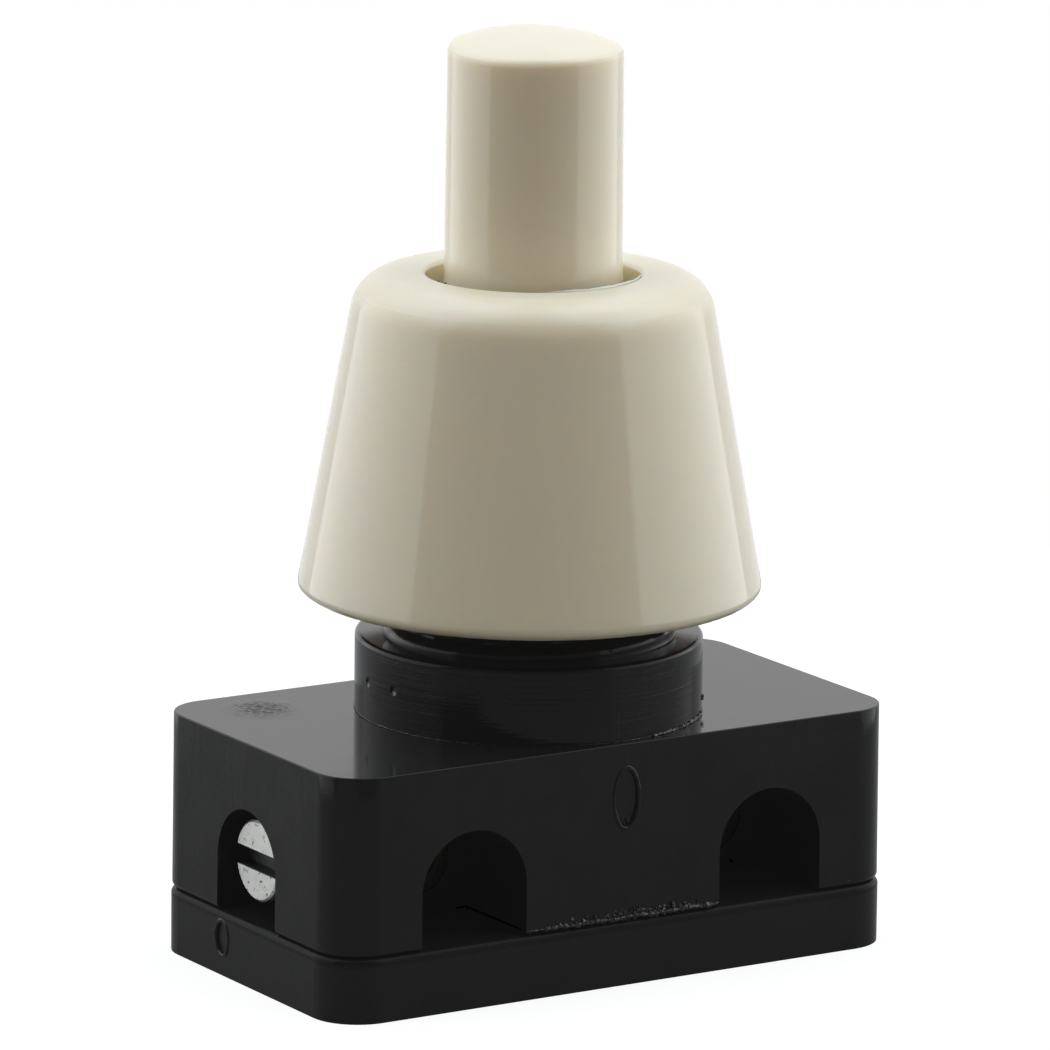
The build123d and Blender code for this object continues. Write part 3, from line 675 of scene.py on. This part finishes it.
def zinc_steel():
    """Plated screws: bright machined faces with dark specks, and slots and shanks painted dark as
    shade.
    """
    s = Shader("zinc_steel")
    s.set(Metallic=1.0)
    outwards = s.math("ABSOLUTE", s.split(s.place)["X"], 0.0)
    outer = s.remap(outwards, SCREW_FACE_X, SCREW_FACE_X + SCREW_FACE_SOFT, 0.0, 1.0)
    specks = s.remap(s.noise(0.22 * MM, 4.0), 0.62, 0.68, 0.0, 1.0)
    face = s.mix(s.noise(0.5 * MM), colour(0.70, 0.70, 0.67), colour(0.86, 0.86, 0.83))
    face = s.mix(specks, face, colour(0.10, 0.10, 0.095))
    # Within the head's face the slot and shank get a dark metal colour: painted shade in the slot
    inner = s.mix(s.noise(0.15 * MM, 4.0), colour(0.04, 0.04, 0.042), colour(0.13, 0.13, 0.13))
    s.link(s.mix(outer, inner, face), "Base Color")
    s.link(s.vary(0.3 * MM, 0.38, 0.55), "Roughness")
    s.link(s.bump(s.noise(0.12 * MM, 4.0), 0.01 * MM, 0.7), "Normal")
    return s.material


MATERIALS = {
    "ivory_plastic": ivory_plastic(),
    "black_plastic": black_plastic(),
    "natural_nylon": nylon(),
    "zinc_steel": zinc_steel(),
    **{name: metal(name, *finish) for name, finish in METALS.items()},
}
BASE_BLACK = black_plastic("base_black", (0.28, 0.40), 0.016 * MM)
COLLAR_BLACK = black_plastic("collar_black", (0.12, 0.22), turned=True)
# The bezel gets a darker copy of the ivory, 0.91 against the button's 0.95: painted shade on the
# whole bezel
BEZEL_IVORY_SHADED = ivory_plastic("bezel_painted_shade_ivory", 0.91, 2.0 * MM)
BURR_IVORY = ivory_plastic("burr_ivory", rough=(0.45, 0.6))
TORN_PLASTIC = torn_plastic()


def dress_cad_nodes():
    """Every CAD node gets the finish of the slot that it was packed with, the base a duller one."""
    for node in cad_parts.values():
        for i, old in enumerate(node.data.materials):
            node.data.materials[i] = MATERIALS[old.name]
    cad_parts["base_cover"].data.materials[0] = BASE_BLACK


# Pieces

def make_button():
    """A domed hollow button. Its crown lies a little off the middle, as on the real moulding."""
    ball = (BUTTON_RADIUS**2 + BUTTON_DOME**2) / (2 * BUTTON_DOME)
    ball_z = BUTTON_CROWN_Z - ball
    round_r = BUTTON_RADIUS - BUTTON_ROUND
    round_z = ball_z + sqrt((ball - BUTTON_ROUND)**2 - round_r**2)
    edge = atan2(round_z - ball_z, round_r)
    profile = [(BUTTON_BORE_RADIUS, BUTTON_BORE_TOP_Z), (BUTTON_BORE_RADIUS, BUTTON_FOOT_Z)]
    profile += spread((BUTTON_FOOT_RADIUS, BUTTON_FOOT_Z), (BUTTON_RADIUS, round_z), PROFILE_STEP)
    turns = ceil(edge / SHOULDER_TURN)
    for k in range(turns):
        turn = edge * k / turns
        profile.append((round_r + BUTTON_ROUND * cos(turn), round_z + BUTTON_ROUND * sin(turn)))
    turns = ceil((pi / 2 - edge) / DOME_TURN)
    for k in range(turns + 1):
        turn = edge + (pi / 2 - edge) * k / turns
        profile.append((ball * cos(turn), ball_z + ball * sin(turn)))
    profile.append((0, BUTTON_BORE_TOP_Z))

    def lean(angle, r, z):
        share = min(1.0, max(0.0, (z - BUTTON_BORE_TOP_Z) / (round_z - BUTTON_BORE_TOP_Z)))
        back = -r * cos(angle - CAMERA_SIDE)
        left = -r * sin(angle - CAMERA_SIDE)
        rise = BUTTON_LEAN * left + BUTTON_LEAN_BACK * back + BUTTON_TWIST * left * back
        return r, z + share**2 * (rise - BUTTON_SINK)

    piece = lathe("button_cap", profile, "button", MATERIALS["ivory_plastic"],
                  move=lean)
    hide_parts("push_button")


def thread_crest(angle, z):
    """How high up the thread's flank a point lies: 0 at the root and 1 at the crest."""
    turn = (z - THREAD_START_Z) / THREAD_PITCH - angle / (2 * pi)
    return min(1.0, THREAD_FLAT * abs(2 * (turn % 1) - 1))


def make_neck():
    """The collar and threaded neck as one closed ring, round the moulded housing's bore."""
    corners = [
        (NECK_CORE_RADIUS, HOUSING_TOP_Z - COLLAR_SINK, 0),
        (COLLAR_RADIUS, HOUSING_TOP_Z - COLLAR_SINK, 0),
        (COLLAR_RADIUS, COLLAR_TOP_Z, COLLAR_ROUND),
        (NECK_RADIUS, COLLAR_TOP_Z, 0),
        (NECK_RADIUS, NECK_TOP_Z - NECK_CHAMFER, 0),
        (NECK_RADIUS - NECK_CHAMFER, NECK_TOP_Z, 0),
        (NECK_CORE_RADIUS, NECK_TOP_Z, 0),
    ]

    def cut(angle, r, z):
        if r < NECK_CORE_RADIUS + THREAD_DEPTH / 2 or z <= COLLAR_TOP_Z:
            return r, z
        start = min(1.0, (z - COLLAR_TOP_Z) / (THREAD_PITCH / 2))
        return r - THREAD_DEPTH * start * (1 - thread_crest(angle, z)), z

    foot_z = HOUSING_TOP_Z - COLLAR_SINK + NECK_TUCK
    head_z = NECK_TOP_Z - NECK_TUCK
    profile = [(r, z) for r, z in outline(corners, THREAD_STEP)
               if r > NECK_CORE_RADIUS + NECK_TUCK or not foot_z < z < head_z]
    piece = lathe("collar_neck", profile, "housing", COLLAR_BLACK,
                  move=cut, segments=NECK_STEPS)
    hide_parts("upper_housing")


def edge_of_top(x, y):
    """How far a point of the housing's top lies inside its outline, and the way out to it."""
    flat_x = TOP_HALF_LENGTH - TOP_CORNER
    flat_y = TOP_HALF_DEPTH - TOP_CORNER
    over = Vector((max(0.0, abs(x) - flat_x), max(0.0, abs(y) - flat_y)))
    if over.x and over.y:
        away = Vector((over.x if x > 0 else -over.x, over.y if y > 0 else -over.y)).normalized()
        return TOP_CORNER - over.length, away
    if TOP_HALF_LENGTH - abs(x) < TOP_HALF_DEPTH - abs(y):
        return TOP_HALF_LENGTH - abs(x), Vector((1 if x > 0 else -1, 0))
    return TOP_HALF_DEPTH - abs(y), Vector((0, 1 if y > 0 else -1))


def make_housing():
    """The moulded housing, with a sharper top edge and its neck drawn in under the threaded ring."""

    def draw_in(point):
        depth, away = edge_of_top(point.x, point.y)
        drop = HOUSING_TOP_Z - point.z
        reach = hypot(point.x, point.y)
        at_edge = depth < TOP_ROUND + TOP_SLACK and -TOP_SLACK < drop < TOP_ROUND + TOP_SLACK
        if at_edge and reach > COLLAR_RADIUS + TOP_SLACK:
            keep = TOP_ROUND_SEEN / TOP_ROUND
            step = max(0.0, depth) * (1 - keep)
            x = point.x + away.x * step
            y = point.y + away.y * step
            return Vector((x, y, HOUSING_TOP_Z - drop * keep))
        if point.z > HOUSING_TOP_Z and reach > (NECK_BORE_RADIUS + NECK_CORE_RADIUS) / 2:
            scale = (NECK_CORE_RADIUS - NECK_TUCK) / reach
            return Vector((point.x * scale, point.y * scale, min(point.z, NECK_TOP_Z - NECK_TUCK)))
        return point.copy()

    piece = weld_copy("upper_housing", "housing_shell", draw_in)
    piece.data.materials.append(MATERIALS["black_plastic"])
    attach(piece, "housing")
    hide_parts("upper_housing")


def make_bezel():
    """The skirted nut, with its inner thread and a lower rim worn most at the camera's left."""
    slope = (BEZEL_BOTTOM_RADIUS - BEZEL_TOP_RADIUS) / (BEZEL_TOP_Z - BEZEL_BOTTOM_Z)
    skirt_foot = BEZEL_BOTTOM_RADIUS - BEZEL_SKIRT_WALL
    skirt_head = skirt_foot - slope * (BEZEL_THREAD_FOOT_Z - BEZEL_BOTTOM_Z)
    corners = [
        (BEZEL_HOLE_RADIUS, BEZEL_TOP_Z, BEZEL_HOLE_ROUND),
        (BEZEL_HOLE_RADIUS, BEZEL_CEILING_Z, 0),
        (BEZEL_THREAD_RADIUS, BEZEL_CEILING_Z, 0),
        (BEZEL_THREAD_RADIUS, BEZEL_THREAD_FOOT_Z, 0),
        (skirt_head, BEZEL_THREAD_FOOT_Z, 0),
        (skirt_foot, BEZEL_BOTTOM_Z, 0),
        (BEZEL_BOTTOM_RADIUS, BEZEL_BOTTOM_Z, BEZEL_BOTTOM_ROUND),
        (BEZEL_TOP_RADIUS, BEZEL_TOP_Z, BEZEL_TOP_ROUND),
    ]

    def shape(angle, r, z):
        threaded = BEZEL_THREAD_FOOT_Z < z < BEZEL_CEILING_Z
        if threaded and abs(r - BEZEL_THREAD_RADIUS) < THREAD_STEP:
            return r + THREAD_DEPTH * thread_crest(angle, z), z
        low = 1 - (z - BEZEL_BOTTOM_Z) / BEZEL_RIM_HEIGHT
        if low > 0 and r > BEZEL_BOTTOM_RADIUS - BEZEL_SKIRT_WALL / 2:
            worn = BEZEL_RIM_RAG * max(0.0, ragged(angle, size=0.06, seed=3.0))
            worn += BEZEL_RIM_DRAW * (1 + BEZEL_RIM_UNEVEN * cos(angle - CAMERA_SIDE + pi / 2))
            return r - worn * min(1.0, low), z
        return r, z

    piece = lathe("bezel_shell", outline(corners, BEZEL_STEP), "bezel", BEZEL_IVORY_SHADED,
                  move=shape)
    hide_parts("bezel_nut")


def make_seam_flash():
    """A line of flash along the front of the seam, breaking into crumbs towards its middle."""
    flash = Flash()
    start, end = SEAM_FLASH_X
    count = ceil((end - start) / BEAD_STEP)
    line, radii = [], []
    for i in range(count + 1):
        x = start + (end - start) * i / count
        wander = noise.noise(Vector((x / MM, 0, 0)))
        line.append(on_front(x, SEAM_FLASH_Z + SEAM_FLASH_WANDER * wander))
        thick = SEAM_CRUMBS_X[0] < x < SEAM_CRUMBS_X[1]
        radius = SEAM_FLASH_THICK if thick else SEAM_FLASH_THIN
        radii.append(radius * (1 + 0.6 * noise.noise(Vector((3 * x / MM, 5, 0)))))
    flash.bead(line, radii, (0, 1, 0))
    for _ in range(SEAM_CRUMBS):
        x = random.triangular(*SEAM_CRUMBS_X)
        place = on_front(x, SEAM_Z + random.uniform(0.0, SEAM_CRUMB_RISE))
        flash.crumb(place, random.uniform(*SEAM_CRUMB_SIZE))
    for x, z, size in LOOSE_CRUMBS:
        for _ in range(LOOSE_GROUP):
            crumb_x = (x + random.uniform(-size, size)) * MM
            crumb_z = (z + random.uniform(-size, size) / 2) * MM
            flash.crumb(on_front(crumb_x, crumb_z), size * random.uniform(0.4, 0.8) * MM)
    flash.piece("seam_flash", "housing", TORN_PLASTIC, "black_plastic")


def collar_crumbs(flash, count, angles, rise, size):
    """Crumbs on the collar's side, within a range of angles and of heights above its foot."""
    for _ in range(count):
        angle = random.uniform(*angles)
        z = HOUSING_TOP_Z + random.uniform(*rise)
        flash.crumb(on_ring(COLLAR_RADIUS + COLLAR_CRUMB_OUT, angle, z), random.uniform(*size))


def make_collar_burr():
    """Flash round the collar's foot, thick at its right, and the mould's parting lines."""
    flash = Flash()
    count = ceil(2 * pi * COLLAR_RADIUS / BEAD_STEP)
    line, radii = [], []
    for i in range(count):
        angle = 2 * pi * i / count - pi
        thick = FOOT_BURR_ANGLES[0] < angle < FOOT_BURR_ANGLES[1]
        radius = FOOT_BURR_THICK if thick else FOOT_BURR_THIN
        line.append(on_ring(COLLAR_RADIUS + FOOT_BURR_OUT, angle, HOUSING_TOP_Z + FOOT_BURR_RISE))
        radii.append(radius * (1 + 0.7 * ragged(angle, size=0.03, seed=1.0)))
    flash.bead(line, radii, (0, 0, 1), closed=True)
    collar_crumbs(flash, FOOT_CRUMBS, FOOT_BURR_ANGLES, FOOT_CRUMB_RISE, FOOT_CRUMB_SIZE)
    collar_crumbs(flash, SIDE_CRUMBS, SIDE_CRUMB_ANGLES, SIDE_CRUMB_RISE, SIDE_CRUMB_SIZE)
    foot = on_ring(COLLAR_RADIUS, PARTING_ANGLE, HOUSING_TOP_Z)
    head = on_ring(COLLAR_RADIUS, PARTING_ANGLE, HOUSING_TOP_Z + PARTING_HEIGHT)
    seam = [Vector(point) for point in spread(foot, head, BEAD_STEP)]
    flash.bead(seam, [PARTING_RADIUS] * len(seam), (0, 1, 0))
    foot_z = HOUSING_GATE[1] + HOUSING_GATE_REACH[1]
    rise = HOUSING_TOP_Z - TOP_ROUND - foot_z
    seam = [on_front(HOUSING_GATE[0], foot_z + rise * k / PARTING_STEPS)
            for k in range(PARTING_STEPS + 1)]
    flash.bead(seam, [PARTING_RADIUS] * len(seam), (0, 1, 0))
    flash.piece("collar_flash", "housing", TORN_PLASTIC, "black_plastic")


def gate_rim(flash, middle, reach, place, inwards):
    """The low raised ring round a gate mark, half sunk in the face."""
    count = ceil(4 * reach[1] / BEAD_STEP)
    line, radii = [], []
    for i in range(count):
        turn = 2 * pi * i / count
        across = middle[0] + reach[0] * sin(turn)
        up = middle[1] + reach[1] * cos(turn)
        line.append(place(across, up) + Vector(inwards) * GATE_RIM_SINK)
        radii.append(GATE_RIM * (1 + 0.25 * ragged(turn, size=0.5, seed=2.0)))
    flash.bead(line, radii, inwards, closed=True, rough=0.05)


def gate_crumbs(flash, count, middle, place, across, up, size):
    """Crumbs near one end of a gate mark, spread across and up from its middle."""
    for _ in range(count):
        here = (middle[0] + random.uniform(*across), middle[1] + random.uniform(*up))
        flash.crumb(place(*here), random.uniform(*size))


def make_gate_rims():
    """The rims of the two gate marks, with a few crumbs at one end of each."""
    flash = Flash()
    reach = HOUSING_GATE_REACH[1]
    gate_rim(flash, HOUSING_GATE, HOUSING_GATE_REACH, on_front, (0, 1, 0))
    gate_crumbs(flash, 8, HOUSING_GATE, on_front, across=(-0.15 * MM, 0.12 * MM),
                up=(-reach, 0.4 * MM - reach), size=(0.06 * MM, 0.12 * MM))
    reach = BASE_GATE_REACH[1]
    gate_rim(flash, BASE_GATE, BASE_GATE_REACH, on_left_end, (1, 0, 0))
    gate_crumbs(flash, 6, BASE_GATE, on_left_end, across=(-0.15 * MM, 0.10 * MM),
                up=(reach, reach - 0.25 * MM), size=(0.05 * MM, 0.10 * MM))
    flash.piece("gate_rims", "housing", MATERIALS["black_plastic"], "black_plastic", smooth=True)


def make_wire_hole_burrs():
    """The thin sharp edge of the hole in the wall inside each wire entry."""
    flash = Flash()
    count = ceil(2 * pi * WIRE_HOLE_RADIUS / BEAD_STEP)
    for side in (-1, 1):
        line, radii = [], []
        for i in range(count):
            turn = 2 * pi * i / count
            x = side * WIRE_HOLE_X + WIRE_HOLE_RADIUS * cos(turn)
            line.append(on_front(x, WIRE_HOLE_Z + WIRE_HOLE_RADIUS * sin(turn)))
            radii.append(WIRE_HOLE_BURR * (1 + 0.4 * ragged(turn, size=0.2, seed=side)))
        flash.bead(line, radii, (0, 1, 0), closed=True)
    flash.piece("wire_hole_burrs", "housing", TORN_PLASTIC, "black_plastic")


def make_bezel_burr():
    """The pale burr on the bezel's hole, and a few specks of dust beside it."""
    burr = Flash()
    start, end = HOLE_BURR_ANGLES
    count = ceil((end - start) * BEZEL_HOLE_RADIUS / BEAD_STEP)
    line, radii = [], []
    for i in range(count + 1):
        angle = start + (end - start) * i / count
        lift = HOLE_BURR_LIFT * ragged(angle, size=0.3, seed=5.0)
        line.append(on_ring(BEZEL_HOLE_RADIUS + lift, angle, BEZEL_TOP_Z + lift))
        taper = sin(pi * (i + 1) / (count + 2)) ** 0.5
        radii.append(HOLE_BURR_RADIUS * taper * (1 + 0.4 * ragged(angle, size=0.15, seed=6.0)))
    burr.bead(line, radii, (0, 0, 1), rough=0.1)
    burr.piece("bezel_burr", "bezel", BURR_IVORY, "ivory_plastic", smooth=True)
    dust = Flash()
    for _ in range(DUST_SPECKS):
        angle = DUST_ANGLE + random.uniform(-DUST_SPREAD, DUST_SPREAD)
        place = on_ring(BEZEL_HOLE_RADIUS + BEZEL_HOLE_ROUND / 2, angle, BEZEL_TOP_Z)
        dust.crumb(place, random.uniform(*DUST_SIZE))
    dust.piece("bezel_dust", "bezel", MATERIALS["black_plastic"], "black_plastic")


def make_spring():
    """The return spring, copied from its CAD coil to ride the housing."""
    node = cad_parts["return_spring"]
    piece = bpy.data.objects.new("return_coil", node.data.copy())
    bpy.context.collection.objects.link(piece)
    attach(piece, "housing")
    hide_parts("return_spring")
    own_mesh(piece)


# Stage

def from_camera(azimuth, elevation, distance):
    """A point round the part. Azimuth 0 is the camera's side, and grows to its right in degrees."""
    turn = CAMERA_AZIMUTH + radians(azimuth)
    rise = radians(elevation)
    flat = distance * cos(rise)
    return Vector((flat * sin(turn), -flat * cos(turn), distance * sin(rise) + CAMERA_AIM_Z))


def add_softbox(name, azimuth, elevation, distance, width, height, power, tint):
    """A rectangular lamp turned to the part, unseen by the camera."""
    lamp = bpy.data.lights.new(name, "AREA")
    lamp.color = tint
    lamp.shape = "RECTANGLE"
    lamp.size = width
    lamp.size_y = height
    lamp.energy = power
    box = bpy.data.objects.new(name, lamp)
    bpy.context.collection.objects.link(box)
    box.location = from_camera(azimuth, elevation, distance)
    towards = Vector((0, 0, CAMERA_AIM_Z)) - box.location
    box.rotation_euler = towards.to_track_quat("-Z", "Y").to_euler()
    box.visible_camera = False


def add_lights():
    for name, settings in SOFTBOXES.items():
        add_softbox(name, *settings)


def add_world():
    """A dim warm fill, under a white studio that only camera, mirror and clear rays meet."""
    world = bpy.data.worlds.new("studio")
    bpy.context.scene.world = world
    world.use_nodes = True
    studio = Tree(world.node_tree)
    ambient = studio.tree.nodes["Background"]
    ambient.inputs["Color"].default_value = colour(*AMBIENT_TINT)
    ambient.inputs["Strength"].default_value = AMBIENT_STRENGTH
    rays = studio.add("ShaderNodeLightPath").outputs
    place = studio.add("ShaderNodeTexCoord").outputs["Generated"]
    away = (-sin(CAMERA_AZIMUTH), cos(CAMERA_AZIMUTH), 0)
    side = studio.add("ShaderNodeVectorMath", ((0, place), (1, away)), operation="DOT_PRODUCT")
    level = studio.remap(side.outputs["Value"], STUDIO_NEAR, STUDIO_FAR,
                         STUDIO_NEAR_LEVEL, STUDIO_FAR_LEVEL)
    strength = studio.math("MAXIMUM", level, rays["Is Camera Ray"])
    white = studio.add("ShaderNodeBackground", (("Color", grey(1)), ("Strength", strength)))
    shows = studio.math("MAXIMUM", rays["Is Camera Ray"], rays["Is Glossy Ray"])
    shows = studio.math("MAXIMUM", shows, rays["Is Transmission Ray"])
    both = studio.add("ShaderNodeMixShader", (("Fac", shows), (1, ambient.outputs[0]),
                                              (2, white.outputs[0])))
    studio.show(both, "World Output")


def add_floor():
    """A white floor that glows for the camera, and a little in the part's reflections."""
    mesh = bpy.data.meshes.new("floor")
    work = bmesh.new()
    bmesh.ops.create_circle(work, cap_ends=True, segments=FLOOR_STEPS, radius=FLOOR_RADIUS)
    work.to_mesh(mesh)
    work.free()
    floor = bpy.data.objects.new("floor", mesh)
    bpy.context.collection.objects.link(floor)
    material = bpy.data.materials.new("floor_white")
    material.use_nodes = True
    white = Tree(material.node_tree)
    white.tree.nodes.remove(white.tree.nodes["Principled BSDF"])
    rays = white.add("ShaderNodeLightPath").outputs
    lit = white.add("ShaderNodeBsdfDiffuse", (("Color", grey(FLOOR_GREY)),))
    mirrored = white.math("MULTIPLY", rays["Is Glossy Ray"], FLOOR_MIRRORED)
    level = white.math("ADD", white.math("MULTIPLY", rays["Is Camera Ray"], FLOOR_SEEN), mirrored)
    glow = white.add("ShaderNodeEmission", (("Strength", level),))
    white.show(white.add("ShaderNodeAddShader", ((0, lit.outputs[0]), (1, glow.outputs[0]))),
               "Material Output")
    mesh.materials.append(material)


def add_camera():
    """The photograph's camera, rolled a little and aimed just off the part's middle."""
    data = bpy.data.cameras.new("camera")
    data.lens = CAMERA_LENS
    data.sensor_width = CAMERA_SENSOR
    data.clip_start = 10 * MM
    camera = bpy.data.objects.new("camera", data)
    bpy.context.collection.objects.link(camera)
    back = from_camera(0, CAMERA_ELEVATION, 1.0) - Vector((0, 0, CAMERA_AIM_Z))
    flat = Vector((cos(CAMERA_AZIMUTH), sin(CAMERA_AZIMUTH), 0))
    rise = back.cross(flat)
    right = flat * cos(CAMERA_ROLL) + rise * sin(CAMERA_ROLL)
    up = rise * cos(CAMERA_ROLL) - flat * sin(CAMERA_ROLL)
    place = Vector((0, 0, CAMERA_AIM_Z)) + back * CAMERA_DISTANCE
    aim = Vector((0, 0, CAMERA_AIM_Z)) + right * CAMERA_AIM_RIGHT + up * CAMERA_AIM_UP
    back = (place - aim).normalized()
    right = (right - back * right.dot(back)).normalized()
    up = back.cross(right)
    turn = Matrix((right, up, back)).transposed().to_4x4()
    camera.matrix_world = Matrix.Translation(place) @ turn
    bpy.context.scene.camera = camera


random.seed(SEED)
dress_cad_nodes()
make_housing()
make_neck()
make_bezel()
make_button()
make_spring()
make_seam_flash()
make_collar_burr()
make_gate_rims()
make_wire_hole_burrs()
make_bezel_burr()
add_lights()
add_world()
add_floor()
add_camera()
bpy.context.scene.view_settings.view_transform = "Standard"
